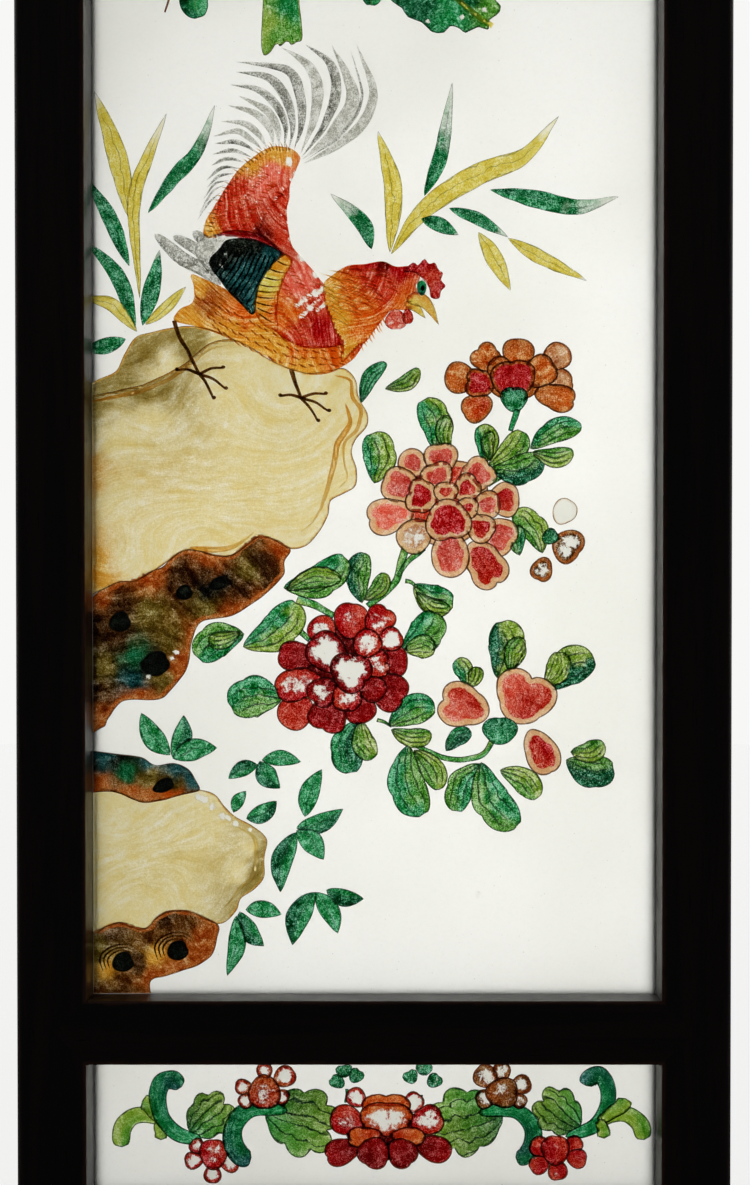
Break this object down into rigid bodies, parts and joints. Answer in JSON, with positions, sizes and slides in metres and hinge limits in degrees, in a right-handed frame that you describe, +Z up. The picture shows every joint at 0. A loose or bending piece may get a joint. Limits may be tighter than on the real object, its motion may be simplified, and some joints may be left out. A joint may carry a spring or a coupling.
{
  "type": "table screen",
  "caption": "Tall hardwood table screen: a frame with a painted milky-glass picture over a shallow painted waist panel, lifting out of a low stand with shoe feet.",
  "frame": {"origin": "on the table under the middle of the frame: the centre of the feet's footprint at their undersides", "axes": "+Z up along the stiles, +X to the right along the rails, +Y from the painted front to the back"},
  "size_m": [0.2466, 0.172, 0.6295],
  "materials": {
    "frame_wood": "very dark reddish-brown hardwood, waxed, worn soft along the edges",
    "stand_wood": "the same dark hardwood, waxed, rubbed a little lighter on the feet",
    "peg_wood": "end grain of lighter hardwood pegs, waxed",
    "milk_glass": "milky translucent glass, painted on the front in transparent enamels with dark pencilled outlines",
    "enamel": "thin transparent enamels in greens, reds, yellow, straw and grey, speckled and flaked, with dark pencilled outlines",
    "pin_brass": "tarnished brass"
  },
  "bodies": {
    "stand": {"left_foot": "stand_wood", "right_foot": "stand_wood", "front_stretcher": "stand_wood", "back_stretcher": "stand_wood", "left_front_spandrel": "stand_wood", "left_back_spandrel": "stand_wood", "right_front_spandrel": "stand_wood", "right_back_spandrel": "stand_wood", "stand_pegs": "peg_wood"},
    "frame": {"left_stile": "frame_wood", "right_stile": "frame_wood", "top_rail": "frame_wood", "middle_rail": "frame_wood", "lower_rail": "frame_wood", "main_pane": "milk_glass", "main_bead_left": "frame_wood", "main_bead_right": "frame_wood", "main_bead_top": "frame_wood", "main_bead_bottom": "frame_wood", "waist_pane": "milk_glass", "waist_bead_left": "frame_wood", "waist_bead_right": "frame_wood", "waist_bead_top": "frame_wood", "waist_bead_bottom": "frame_wood", "bead_pins": "pin_brass", "rail_pegs": "peg_wood", "front_apron": "frame_wood", "back_apron": "frame_wood"}
  },
  "joints": [
    {"name": "frame_lift", "type": "slide", "parent": "stand", "child": "frame", "axis": [0, 0, 1], "range_m": [0, 0.085]}
  ]
}
